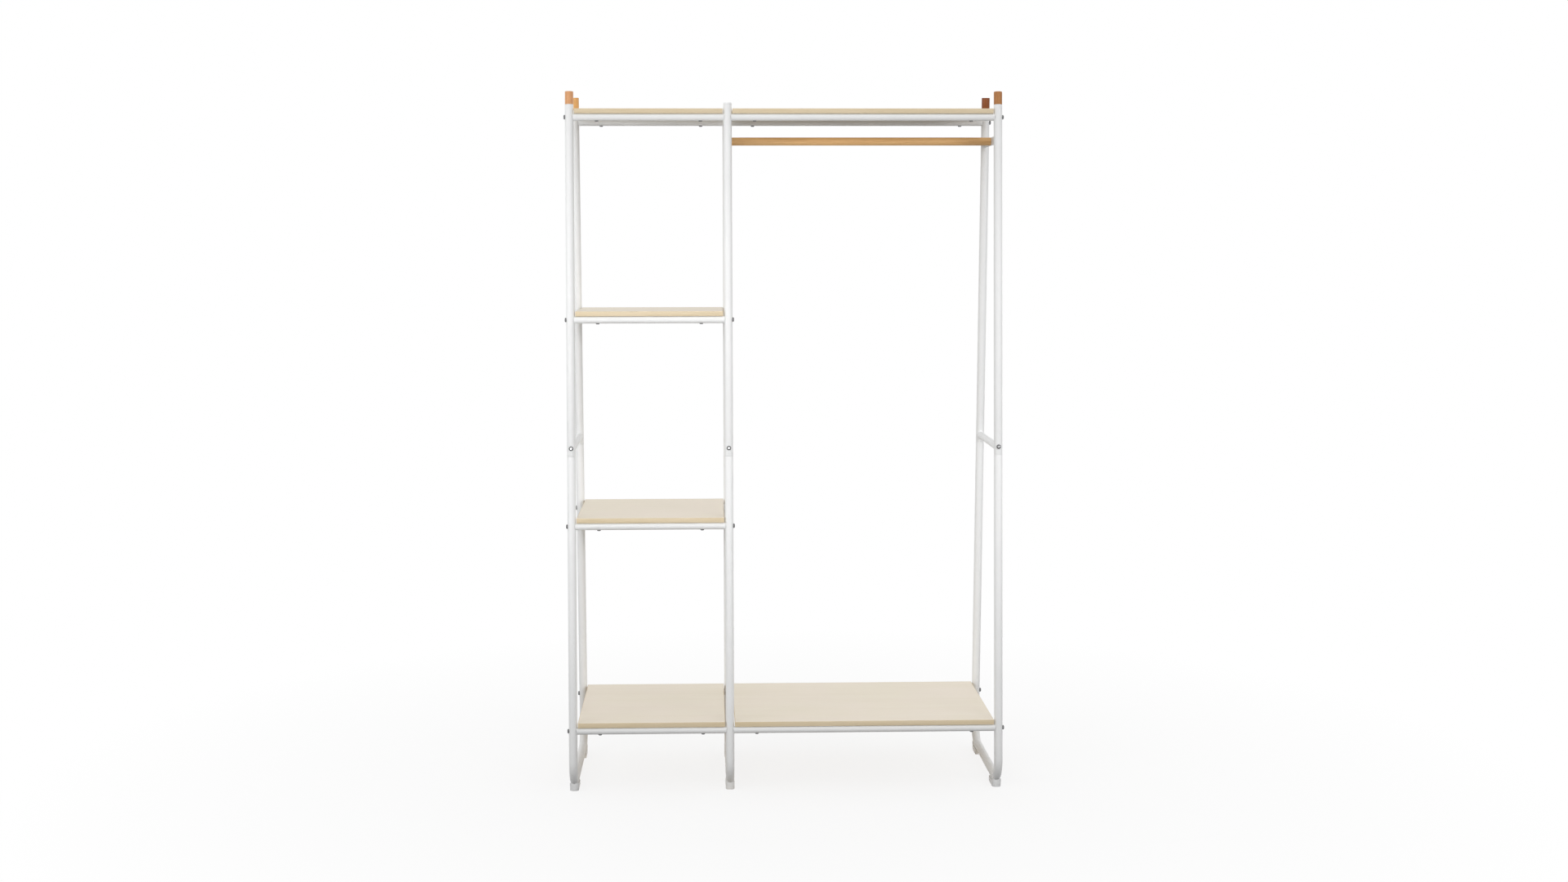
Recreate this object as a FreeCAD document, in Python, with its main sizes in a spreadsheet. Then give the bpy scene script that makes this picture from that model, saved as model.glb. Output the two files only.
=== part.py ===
import FreeCAD, Part
import math
import os
import Sketcher
from FreeCAD import Placement, Rotation, Vector

# Hall tree: three leaning tube frames, shelf boards on rails, a hanging rod.
# Frame: +X to the right, +Y to the rear, +Z up, origin on the floor at the middle.

doc = FreeCAD.newDocument("HallTree")
sheet = doc.addObject("Spreadsheet::Sheet", "Sizes")

# Driving sizes in millimetres, the lean in degrees
sizes = {
    # bays between post axes, and the spread of a frame's legs at the floor
    "left_bay": 381.5,
    "right_bay": 656.5,
    "floor_span": 440,
    "lean_angle": 3.77,
    # post tube, upper and lower, the upper ending above the top rails
    "post_dia": 20.6,
    "post_wall": 1.2,
    "post_top_rise": 30.5,
    "seam_height": 820,
    "seam_gap": 0.3,
    # bent lower frame and its swaged spigots
    "bar_height": 20.5,
    "bend_radius": 55,
    "spigot_length": 50,
    "spigot_clearance": 0.15,
    "swage_length": 6,
    # crossbar between the posts, its axis above the joint's seam
    "crossbar_dia": 17.2,
    "crossbar_wall": 1,
    "crossbar_rise": 18,
    "weld_gap": 0.2,
    # shelf rails: axis heights, tube and coped ends
    "top_rail_height": 1638,
    "second_rail_height": 1150.5,
    "third_rail_height": 651,
    "bottom_rail_height": 154,
    "rail_dia": 17.2,
    "rail_wall": 1,
    "cope_depth": 2,
    "cope_gap": 0.3,
    # shelf boards
    "board_thickness": 12,
    "board_overhang": 8.4,
    "board_end_gap": 1.6,
    "board_bevel": 0.8,
    "seat_gap": 0.15,
    # hanging rod below the top rails, and the flat bars that carry it
    "rod_dia": 20,
    "rod_drop": 53,
    "rod_bar_depth": 20,
    "rod_bar_thickness": 3,
    # wooden caps and plastic plugs in the post tops
    "cap_dia": 20.2,
    "cap_length": 31,
    "cap_bevel": 1.2,
    "cap_dowel_length": 24,
    "plug_head_height": 4,
    "plug_bevel": 1,
    "plug_stem_length": 14,
    "stopper_clearance": 0.2,
    # saddle feet
    "foot_setback": 26.6,
    "foot_length": 64,
    "foot_width": 21.6,
    "foot_nose_flat": 2,
    "foot_rim_rise": 2.3,
    "foot_clearance": 0.25,
}

for row, (alias, number) in enumerate(sizes.items(), start=1):
    sheet.set(f"A{row}", alias)
    sheet.set(f"B{row}", str(number))
    sheet.setAlias(f"B{row}", alias)
doc.recompute()

# Sides of a frame by the sign of Y
sides = {"front": -1, "rear": 1}
# Turns in degrees, and the starting turn and length that bound values replace
quarter_turn = 90
half_turn = 180
start_turn = 10
start_length = 1
# Edges count as level, or upright, within this share of their length
flat_share = 0.001

# Derived sizes, as expressions over the sheet
post_radius = "(Sizes.post_dia / 2)"
post_bore = "(Sizes.post_dia - 2 * Sizes.post_wall)"
spigot_radius = f"({post_bore} / 2 - Sizes.spigot_clearance)"
spigot_bore_radius = f"({spigot_radius} - Sizes.post_wall)"
rail_start = f"({post_radius} - Sizes.cope_depth)"
post_start_height = "(Sizes.seam_height + Sizes.seam_gap)"
post_top_height = "(Sizes.top_rail_height + Sizes.post_top_rise)"
crossbar_height = "(Sizes.seam_height + Sizes.crossbar_rise)"
rod_height = "(Sizes.top_rail_height - Sizes.rod_drop)"
lean_rise = "cos(Sizes.lean_angle)"
frame_x = {
    "left": "(-(Sizes.left_bay + Sizes.right_bay) / 2)",
    "middle": "((Sizes.left_bay - Sizes.right_bay) / 2)",
    "right": "((Sizes.left_bay + Sizes.right_bay) / 2)",
}
bay_start = {"left": frame_x["left"], "right": frame_x["middle"]}
bay_width = {"left": "Sizes.left_bay", "right": "Sizes.right_bay"}
shelf_height = {
    "top": "Sizes.top_rail_height",
    "second": "Sizes.second_rail_height",
    "third": "Sizes.third_rail_height",
    "bottom": "Sizes.bottom_rail_height",
}
# Each shelf's name, its level and its bay
shelves = [
    ("top_left", "top", "left"),
    ("top_right", "top", "right"),
    ("second", "second", "left"),
    ("third", "third", "left"),
    ("bottom_left", "bottom", "left"),
    ("bottom_right", "bottom", "right"),
]
nodes = []


def half_span(height):
    return f"(Sizes.floor_span / 2 - ({height}) * tan(Sizes.lean_angle))"


# The bend of a lower frame: where it starts, its centre and the foot of the leg above it
bend_turn = f"({quarter_turn} + Sizes.lean_angle)"
bend_reach = f"({half_span('Sizes.bar_height')} - Sizes.bend_radius * tan({bend_turn} / 2))"
bend_height = "(Sizes.bar_height + Sizes.bend_radius)"
leg_foot_reach = f"({bend_reach} + Sizes.bend_radius * {lean_rise})"
leg_foot_height = f"({bend_height} + Sizes.bend_radius * sin(Sizes.lean_angle))"
leg_length = f"((Sizes.seam_height - {leg_foot_height}) / {lean_rise} - Sizes.swage_length)"
# Ends of a foot from the middle of its frame, and the rim that follows the tube
foot_front = f"({half_span('Sizes.bar_height')} - Sizes.foot_setback)"
foot_back = f"({foot_front} - Sizes.foot_length)"
rim_height = f"(Sizes.bar_height - {post_radius} + Sizes.foot_rim_rise)"
rim_radius = f"(Sizes.bend_radius + {post_radius} - Sizes.foot_rim_rise)"


# Building blocks

def new_node(label):
    body = doc.addObject("PartDesign::Body", label)
    body.Label = label
    nodes.append(body)
    return body


def origin_plane(body, role):
    return next(feature for feature in body.Origin.OriginFeatures if feature.Role == role)


def sketch_on(body, role, shift=None, turn=None, turn_axis=Vector(1, 0, 0)):
    sketch = body.newObject("Sketcher::SketchObject", "Sketch")
    sketch.AttachmentSupport = [(origin_plane(body, role), "")]
    sketch.MapMode = "FlatFace"
    if turn:
        sketch.AttachmentOffset = Placement(Vector(), Rotation(turn_axis, start_turn))
        sketch.setExpression("AttachmentOffset.Rotation.Angle", turn)
    for axis, distance in (shift or {}).items():
        sketch.setExpression(f"AttachmentOffset.Base.{axis}", distance)
    return sketch


def bind(sketch, kind, *details):
    *references, expression = details
    index = sketch.addConstraint(Sketcher.Constraint(kind, *references, start_length))
    sketch.setExpression(f"Constraints[{index}]", expression)


def fix_point(sketch, geometry, point, across, up):
    for kind, axis, distance in (("DistanceX", -2, across), ("DistanceY", -1, up)):
        if distance is None:
            sketch.addConstraint(Sketcher.Constraint("PointOnObject", geometry, point, axis))
        else:
            bind(sketch, kind, -1, 1, geometry, point, distance)


def add_circle(sketch, diameter, across=None, up=None):
    circle = sketch.addGeometry(Part.Circle(Vector(0, 0, 0), Vector(0, 0, 1), start_length))
    bind(sketch, "Diameter", circle, diameter)
    fix_point(sketch, circle, 3, across, up)


def add_ring(sketch, outer, inner, across=None, up=None):
    add_circle(sketch, outer, across, up)
    add_circle(sketch, inner, across, up)


def add_outline(sketch, corners):
    count = len(corners)
    turns = [2 * math.pi * number / count for number in range(count)]
    starts = [Vector(math.cos(turn), math.sin(turn), 0) * start_length for turn in turns]
    lines = []
    for number in range(count):
        line = Part.LineSegment(starts[number], starts[(number + 1) % count])
        lines.append(sketch.addGeometry(line))
    for number, (across, up) in enumerate(corners):
        before = lines[number - 1]
        sketch.addConstraint(Sketcher.Constraint("Coincident", before, 2, lines[number], 1))
        fix_point(sketch, lines[number], 1, across, up)


def pad(body, sketch, length, both_ways=False, backwards=False):
    feature = body.newObject("PartDesign::Pad", "Pad")
    feature.Profile = sketch
    feature.setExpression("Length", length)
    feature.SideType = "Symmetric" if both_ways else "One side"
    feature.Reversed = backwards
    return feature


def cut_through(body, sketch, both_ways=False):
    feature = body.newObject("PartDesign::Pocket", "Pocket")
    feature.Profile = sketch
    feature.Type = "ThroughAll"
    feature.SideType = "Symmetric" if both_ways else "One side"
    return feature


def turn_about(body, kind, sketch, axis, turn=None):
    # Revolution or Groove, all the way round or backwards by the turn
    feature = body.newObject(f"PartDesign::{kind}", kind)
    feature.Profile = sketch
    feature.ReferenceAxis = (sketch, [axis])
    if turn:
        feature.setExpression("Angle", turn)
        feature.Reversed = True
    return feature


def ease_edges(body, kind, size_name, size, chosen):
    # Fillet or Chamfer on the edges that a test picks
    doc.recompute()
    base = body.Tip
    edges = [f"Edge{number}" for number, edge in enumerate(base.Shape.Edges, start=1) if chosen(edge)]
    feature = body.newObject(f"PartDesign::{kind}", kind)
    feature.Base = (base, edges)
    feature.setExpression(size_name, size)
    return feature


def lies_flat(edge):
    return edge.BoundBox.ZLength < edge.Length * flat_share


def place(item, across, depth, height, turn=None):
    if turn:
        item.Placement = Placement(Vector(), Rotation(Vector(1, 0, 0), start_turn))
        item.setExpression("Placement.Rotation.Angle", turn)
    for axis, distance in (("x", across), ("y", depth), ("z", height)):
        if distance:
            item.setExpression(f"Placement.Base.{axis}", distance)


# Side frames

def upper_post(frame, side):
    sign = sides[side]
    body = new_node(f"{frame}_{side}_post")
    section = sketch_on(body, "XY_Plane")
    add_ring(section, "Sizes.post_dia", post_bore)
    pad(body, section, f"({post_top_height} - {post_start_height}) / {lean_rise}")
    depth = f"{sign} * {half_span(post_start_height)}"
    place(body, frame_x[frame], depth, post_start_height, f"{sign} * Sizes.lean_angle")


def crossbar(frame):
    body = new_node(f"{frame}_crossbar")
    reach = half_span(crossbar_height)
    section = sketch_on(body, "XZ_Plane")
    add_ring(section, "Sizes.crossbar_dia", "Sizes.crossbar_dia - 2 * Sizes.crossbar_wall")
    pad(body, section, f"2 * {reach}", both_ways=True)
    for sign in sides.values():
        turn = f"{sign} * Sizes.lean_angle"
        cope = sketch_on(body, "XY_Plane", {"y": f"{sign} * {reach}"}, turn)
        add_circle(cope, "Sizes.post_dia + 2 * Sizes.weld_gap")
        cut_through(body, cope, both_ways=True)
    place(body, frame_x[frame], None, crossbar_height)


def rod_bar(frame):
    body = new_node(f"{frame}_rod_bar")
    rise = "(Sizes.rod_bar_depth / 2)"
    clear = f"(({post_radius} + Sizes.weld_gap) / {lean_rise})"
    low = f"({half_span(f'{rod_height} - {rise}')} - {clear})"
    high = f"({half_span(f'{rod_height} + {rise}')} - {clear})"
    outline = sketch_on(body, "YZ_Plane")
    corners = [(f"-{low}", f"-{rise}"), (low, f"-{rise}"), (high, rise), (f"-{high}", rise)]
    add_outline(outline, corners)
    pad(body, outline, "Sizes.rod_bar_thickness", both_ways=True)
    place(body, frame_x[frame], None, rod_height)


def bend_sketch(body):
    # square to the bar at the start of the bend, its own X axis the axis of the bend
    return sketch_on(body, "XZ_Plane", {"y": bend_height, "z": bend_reach})


def swaged_end(body):
    shift = {"x": f"-{half_span('Sizes.seam_height')}", "y": "Sizes.seam_height"}
    profile = sketch_on(body, "YZ_Plane", shift, "-Sizes.lean_angle", Vector(0, 0, 1))
    corners = [
        (f"{post_bore} / 2", "-Sizes.swage_length"),
        (post_radius, "-Sizes.swage_length"),
        (post_radius, None),
        (spigot_radius, None),
        (spigot_radius, "Sizes.spigot_length"),
        (spigot_bore_radius, "Sizes.spigot_length"),
        (spigot_bore_radius, None),
    ]
    add_outline(profile, corners)
    turn_about(body, "Revolution", profile, "V_Axis")


def lower_frame(frame):
    body = new_node(f"{frame}_lower_frame")
    bar = sketch_on(body, "XZ_Plane")
    add_ring(bar, "Sizes.post_dia", post_bore, None, "Sizes.bar_height")
    pad(body, bar, bend_reach)
    bend = bend_sketch(body)
    add_ring(bend, "Sizes.post_dia", post_bore, None, "-Sizes.bend_radius")
    turn_about(body, "Revolution", bend, "H_Axis", bend_turn)
    leg_foot = {"y": f"-{leg_foot_reach}", "z": leg_foot_height}
    leg = sketch_on(body, "XY_Plane", leg_foot, "-Sizes.lean_angle")
    add_ring(leg, "Sizes.post_dia", post_bore)
    pad(body, leg, leg_length)
    swaged_end(body)
    mirror = body.newObject("PartDesign::Mirrored", "Mirrored")
    mirror.TransformMode = "Whole shape"
    mirror.MirrorPlane = (origin_plane(body, "XZ_Plane"), [""])
    body.Tip = mirror
    place(body, frame_x[frame], None, None)


# Feet, caps and plugs

def foot_outline(sketch):
    # side view: flat sole, upright ends, a rim that follows the bend of the tube
    front = -sizes["floor_span"] / 2
    back = front + sizes["foot_length"]
    middle = (front + back) / 2
    rim = sizes["bar_height"]
    radius = sizes["bend_radius"]
    centre = Vector(middle, rim + radius, 0)
    reach = math.asin((middle - front) / radius)
    rim_circle = Part.Circle(centre, Vector(0, 0, 1), radius)
    arc = Part.ArcOfCircle(rim_circle, 1.5 * math.pi - reach, 1.5 * math.pi)
    front_top = arc.StartPoint
    sole = sketch.addGeometry(Part.LineSegment(Vector(front, 0, 0), Vector(back, 0, 0)))
    heel = sketch.addGeometry(Part.LineSegment(Vector(back, 0, 0), Vector(back, rim, 0)))
    flat = sketch.addGeometry(Part.LineSegment(Vector(back, rim, 0), Vector(middle, rim, 0)))
    curve = sketch.addGeometry(arc)
    nose = sketch.addGeometry(Part.LineSegment(front_top, Vector(front, 0, 0)))
    sketch.addConstraint(Sketcher.Constraint("Coincident", sole, 2, heel, 1))
    sketch.addConstraint(Sketcher.Constraint("Coincident", heel, 2, flat, 1))
    sketch.addConstraint(Sketcher.Constraint("Tangent", flat, 2, curve, 2))
    sketch.addConstraint(Sketcher.Constraint("Coincident", curve, 1, nose, 1))
    sketch.addConstraint(Sketcher.Constraint("Coincident", nose, 2, sole, 1))
    sketch.addConstraint(Sketcher.Constraint("Vertical", heel))
    sketch.addConstraint(Sketcher.Constraint("Vertical", nose))
    sketch.addConstraint(Sketcher.Constraint("Horizontal", flat))
    fix_point(sketch, sole, 1, f"-{foot_front}", None)
    fix_point(sketch, sole, 2, f"-{foot_back}", None)
    fix_point(sketch, flat, 2, f"-{bend_reach}", rim_height)
    bind(sketch, "Radius", curve, rim_radius)


def foot(frame, side):
    body = new_node(f"{frame}_{side}_foot")
    outline = sketch_on(body, "YZ_Plane")
    foot_outline(outline)
    block = pad(body, outline, "Sizes.foot_width", both_ways=True)

    def on_nose(edge):
        box = edge.BoundBox
        upright = box.ZLength > edge.Length * (1 - flat_share)
        return upright and box.YMax < block.Shape.BoundBox.YMin + box.ZLength * flat_share

    nose_radius = "(Sizes.foot_width - Sizes.foot_nose_flat) / 2"
    ease_edges(body, "Fillet", "Radius", nose_radius, on_nose)
    groove_dia = "Sizes.post_dia + 2 * Sizes.foot_clearance"
    bend = bend_sketch(body)
    add_circle(bend, groove_dia, None, "-Sizes.bend_radius")
    turn_about(body, "Groove", bend, "H_Axis", bend_turn)
    straight = bend_sketch(body)
    add_circle(straight, groove_dia, None, "-Sizes.bend_radius")
    cut_through(body, straight)
    turn = half_turn if side == "rear" else 0
    body.Placement = Placement(Vector(), Rotation(Vector(0, 0, 1), turn))
    place(body, frame_x[frame], None, None)


def stopper(label, frame, side, head_dia, head_height, head_bevel, stem_length):
    sign = sides[side]
    body = new_node(label)
    head = sketch_on(body, "XY_Plane")
    add_circle(head, head_dia)
    block = pad(body, head, head_height)

    def on_top(edge):
        return lies_flat(edge) and edge.BoundBox.ZMin > block.Shape.BoundBox.ZMax / 2

    ease_edges(body, "Chamfer", "Size", head_bevel, on_top)
    stem = sketch_on(body, "XY_Plane")
    add_circle(stem, f"{post_bore} - 2 * Sizes.stopper_clearance")
    pad(body, stem, stem_length, backwards=True)
    seat = f"({post_top_height} + Sizes.seat_gap * {lean_rise})"
    place(body, frame_x[frame], f"{sign} * {half_span(seat)}", seat, f"{sign} * Sizes.lean_angle")


def cap(frame, side):
    stopper(f"{frame}_{side}_cap", frame, side, "Sizes.cap_dia", "Sizes.cap_length",
            "Sizes.cap_bevel", "Sizes.cap_dowel_length")


def plug(side):
    stopper(f"middle_{side}_plug", "middle", side, "Sizes.post_dia", "Sizes.plug_head_height",
            "Sizes.plug_bevel", "Sizes.plug_stem_length")


# Shelves and rod

def rail(shelf, level, bay, side):
    sign = sides[side]
    width = bay_width[bay]
    height = shelf_height[level]
    body = new_node(f"{shelf}_{side}_rail")
    section = sketch_on(body, "YZ_Plane", {"z": rail_start})
    add_ring(section, "Sizes.rail_dia", "Sizes.rail_dia - 2 * Sizes.rail_wall")
    pad(body, section, f"{width} - 2 * {rail_start}")
    copes = sketch_on(body, "XY_Plane", None, f"{sign} * Sizes.lean_angle")
    for across in (None, width):
        add_circle(copes, "Sizes.post_dia + 2 * Sizes.cope_gap", across)
    cut_through(body, copes, both_ways=True)
    place(body, bay_start[bay], f"{sign} * {half_span(height)}", height)


def board(shelf, level, bay):
    width = bay_width[bay]
    reach = half_span(shelf_height[level])
    start = f"({post_radius} + Sizes.board_end_gap)"
    end = f"({width} - {start})"
    half_depth = f"({reach} + Sizes.board_overhang)"
    body = new_node(f"{shelf}_board")
    outline = sketch_on(body, "XY_Plane")
    corners = [(start, f"-{half_depth}"), (end, f"-{half_depth}"), (end, half_depth), (start, half_depth)]
    add_outline(outline, corners)
    pad(body, outline, "Sizes.board_thickness")
    ease_edges(body, "Chamfer", "Size", "Sizes.board_bevel", lies_flat)
    seat = f"{shelf_height[level]} + Sizes.rail_dia / 2 + Sizes.seat_gap"
    place(body, bay_start[bay], None, seat)


def hanging_rod():
    inset = "(Sizes.rod_bar_thickness / 2 + Sizes.seat_gap)"
    length = f"(Sizes.right_bay - 2 * {inset})"
    body = new_node("hanging_rod")
    section = sketch_on(body, "YZ_Plane")
    add_circle(section, "Sizes.rod_dia")
    pad(body, section, length)
    place(body, f"{frame_x['middle']} + {inset}", None, rod_height)


for frame in frame_x:
    for side in sides:
        upper_post(frame, side)
    crossbar(frame)
    lower_frame(frame)
    for side in sides:
        foot(frame, side)
for frame in ("middle", "right"):
    rod_bar(frame)
for side in sides:
    for frame in ("left", "right"):
        cap(frame, side)
    plug(side)
for shelf, level, bay in shelves:
    for side in sides:
        rail(shelf, level, bay, side)
    board(shelf, level, bay)
hanging_rod()

doc.recompute()
for item in doc.Objects:
    if "Invalid" in item.State or "Error" in item.State:
        raise RuntimeError(f"{item.Name} ({item.Label}) did not recompute: {item.State}")

os.makedirs("parts", exist_ok=True)
for node in nodes:
    if node.Shape.isNull() or not node.Shape.isValid():
        raise RuntimeError(f"{node.Label} has no valid shape")
    node.Shape.exportStep(f"parts/{node.Label}.step")
print(f"{len(nodes)} parts written")
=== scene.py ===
import math

import bmesh
import bpy
from mathutils import Matrix, Vector


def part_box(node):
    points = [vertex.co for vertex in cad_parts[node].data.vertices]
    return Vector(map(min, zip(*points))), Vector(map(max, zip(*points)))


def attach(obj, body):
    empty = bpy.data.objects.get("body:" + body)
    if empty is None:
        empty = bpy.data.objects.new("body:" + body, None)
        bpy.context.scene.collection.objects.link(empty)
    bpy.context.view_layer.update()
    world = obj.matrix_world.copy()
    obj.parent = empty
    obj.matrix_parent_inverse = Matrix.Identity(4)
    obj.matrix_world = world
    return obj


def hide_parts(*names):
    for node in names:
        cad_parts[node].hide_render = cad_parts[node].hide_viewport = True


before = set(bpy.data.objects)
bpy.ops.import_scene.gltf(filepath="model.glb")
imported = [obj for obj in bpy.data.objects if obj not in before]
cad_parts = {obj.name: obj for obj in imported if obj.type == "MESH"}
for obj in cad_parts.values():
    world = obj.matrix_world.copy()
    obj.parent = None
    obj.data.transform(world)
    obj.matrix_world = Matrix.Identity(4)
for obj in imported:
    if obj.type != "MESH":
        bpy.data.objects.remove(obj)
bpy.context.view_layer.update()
scene = bpy.context.scene
print("frame loaded,", len(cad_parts), "nodes")

# the leaning rack itself, in metres, as the CAD has it
rack = {
    "lean": math.radians(3.77),
    "footSpan": 0.440,                  # between the leg axes, down on the floor
    "frameX": {"left": -0.519, "middle": -0.1375, "right": 0.519},
    "railZ": {"top": 1.638, "second": 1.1505, "third": 0.651, "bottom": 0.154},
    "seamZ": 0.820,
    "seamGap": 0.0003,
    "postTopZ": 1.6685,
    "rodZ": 1.585,
    "tube": 0.0103,                     # post radius
}
sides = {"front": -1, "rear": 1}
shelves = {
    "top_left": ("top", "left", "middle"),
    "top_right": ("top", "middle", "right"),
    "second": ("second", "left", "middle"),
    "third": ("third", "left", "middle"),
    "bottom_left": ("bottom", "left", "middle"),
    "bottom_right": ("bottom", "middle", "right"),
}
tiny = 1e-6                             # metres, to merge and compare within
quarterTurn = math.radians(90)
sixthTurn = math.radians(60)
creaseAngle = math.radians(50)          # only edges sharper than this are eased
smoothUnder = 38                        # degrees up to which neighbouring faces shade as one


def spanAt(z):
    return rack["footSpan"] / 2 - z * math.tan(rack["lean"])


def postPlace(frameName, side, z):
    # local Z runs up the post's axis from this height
    sign = sides[side]
    spot = Vector((rack["frameX"][frameName], sign * spanAt(z), z))
    return Matrix.Translation(spot) @ Matrix.Rotation(sign * rack["lean"], 4, "X")


def pieceName(node):
    first, *rest = node.split("_")
    return first + "".join(word.title() for word in rest)


def easeEdges(bm, offset, segments, chosen=None):
    edges = [e for e in bm.edges if e.is_manifold and e.calc_face_angle(0) > creaseAngle]
    if chosen:
        edges = [e for e in edges if chosen(e)]
    bmesh.ops.bevel(bm, geom=edges, offset=offset, offset_type="OFFSET", segments=segments,
                    profile=0.5, affect="EDGES", material=-1)


def lathe(profile, steps, closed=False):
    # (radius, height) points spun about Z
    bm = bmesh.new()
    verts = [bm.verts.new((radius, 0, height)) for radius, height in profile]
    edges = [bm.edges.new(pair) for pair in zip(verts, verts[1:])]
    if closed:
        edges.append(bm.edges.new((verts[-1], verts[0])))
    bmesh.ops.spin(bm, geom=verts + edges, cent=(0, 0, 0), axis=(0, 0, 1), dvec=(0, 0, 0),
                   angle=2 * math.pi, steps=steps, use_merge=True)
    bmesh.ops.remove_doubles(bm, verts=bm.verts, dist=tiny)
    bmesh.ops.recalc_face_normals(bm, faces=bm.faces)
    return bm


def onlyOf(kind, geom):
    return [g for g in geom if isinstance(g, kind)]


def openRing(radius, steps, place):
    bm = bmesh.new()
    bmesh.ops.create_circle(bm, cap_ends=False, radius=radius, segments=steps, matrix=place)
    return bm


def pushRing(bm, edges, shift):
    # one more length of tube on an open ring
    made = bmesh.ops.extrude_edge_only(bm, edges=edges)["geom"]
    verts = onlyOf(bmesh.types.BMVert, made)
    bmesh.ops.translate(bm, verts=verts, vec=shift)
    fresh = set(verts)
    ring = [e for e in onlyOf(bmesh.types.BMEdge, made) if fresh.issuperset(e.verts)]
    return verts, ring


def sizeRing(bm, edges, centre, radius):
    # one more ring on an open ring, round this centre
    verts, ring = pushRing(bm, edges, (0, 0, 0))
    middle = sum((v.co for v in verts), Vector()) / len(verts)
    for v in verts:
        v.co = centre + (v.co - middle).normalized() * radius
    return ring


def wallIn(bm, thickness):
    bmesh.ops.recalc_face_normals(bm, faces=bm.faces)
    bmesh.ops.solidify(bm, geom=bm.faces[:], thickness=thickness)
    bmesh.ops.recalc_face_normals(bm, faces=bm.faces)


def scatter(master, places):
    bm = bmesh.new()
    for place in places:
        before = len(bm.verts)
        bm.from_mesh(master)
        bm.verts.ensure_lookup_table()
        bmesh.ops.transform(bm, matrix=place, verts=bm.verts[before:])
    return bm


def asMesh(bm, name):
    mesh = bpy.data.meshes.new(name)
    bm.to_mesh(mesh)
    bm.free()
    return mesh


def addPiece(bm, name, finishes, standsFor=(), sharp=smoothUnder):
    mesh = asMesh(bm, name)
    for finish in finishes:
        mesh.materials.append(finish)
    mesh.shade_smooth()
    mesh.set_sharp_from_angle(angle=math.radians(sharp))
    piece = bpy.data.objects.new(name, mesh)
    scene.collection.objects.link(piece)
    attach(piece, "root")
    if standsFor:
        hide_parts(*standsFor)


def dressNode(node, bm, finishes, sharp=smoothUnder):
    # a piece that stands for one CAD node
    addPiece(bm, pieceName(node), finishes, [node], sharp)


# nodes that groups and finishes are put together from

def addNode(tree, kind, values=None, **settings):
    node = tree.nodes.new(kind)
    for key, value in settings.items():
        setattr(node, key, value)
    for key, value in (values or {}).items():
        if isinstance(value, bpy.types.NodeSocket):
            tree.links.new(value, node.inputs[key])
        else:
            node.inputs[key].default_value = value
    return node


def addMath(tree, operation, first, second):
    return addNode(tree, "ShaderNodeMath", {0: first, 1: second}, operation=operation).outputs[0]


def addNoise(tree, place, scale, detail=2.0, roughness=0.5, distortion=0.0):
    values = {"Vector": place, "Scale": scale, "Detail": detail, "Roughness": roughness,
              "Distortion": distortion}
    return addNode(tree, "ShaderNodeTexNoise", values).outputs["Fac"]


def remap(tree, value, start=(0, 1), end=(0, 1)):
    values = {"Value": value, "From Min": start[0], "From Max": start[1], "To Min": end[0], "To Max": end[1]}
    return addNode(tree, "ShaderNodeMapRange", values).outputs["Result"]


def lengthOf(tree, vector):
    return addNode(tree, "ShaderNodeVectorMath", {0: vector}, operation="LENGTH").outputs["Value"]


def ramp(tree, factor, stops):
    node = addNode(tree, "ShaderNodeValToRGB", {"Fac": factor})
    while len(node.color_ramp.elements) < len(stops):
        node.color_ramp.elements.new(1)
    for element, (place, colour) in zip(node.color_ramp.elements, stops):
        element.position = place
        element.color = (*colour, 1)
    return node.outputs["Color"]


def blendColour(tree, factor, first, second):
    # inputs 6 and 7 of the mix node are its two colours, output 2 is the blend
    values = {"Factor": factor}
    for key, colour in ((6, first), (7, second)):
        values[key] = (*colour, 1) if isinstance(colour, tuple) else colour
    return addNode(tree, "ShaderNodeMix", values, data_type="RGBA").outputs[2]


# node groups that the finishes share

def newGroup(name, inputs, outputs):
    # every group reads a place and some numbers, and puts out numbers that vary with the place
    tree = bpy.data.node_groups.new(name, "ShaderNodeTree")
    tree.interface.new_socket("Vector", in_out="INPUT", socket_type="NodeSocketVector")
    for label, start in inputs.items():
        socket = tree.interface.new_socket(label, in_out="INPUT", socket_type="NodeSocketFloat")
        socket.default_value = start
    for label in outputs:
        tree.interface.new_socket(label, in_out="OUTPUT", socket_type="NodeSocketFloat")
    return tree, tree.nodes.new("NodeGroupInput").outputs, tree.nodes.new("NodeGroupOutput").inputs


fibreLook = {
    "bands": {"detail": 4.0, "roughness": 0.55},
    "fine": {"detail": 3.0, "roughness": 0.6},
    "fineTimes": 9.0, "fineShare": 0.3, "poreRange": (0.28, 0.46),
    "driftScale": 5.0, "driftRange": (0.35, 0.65), "driftMost": 0.45,
}


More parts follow.
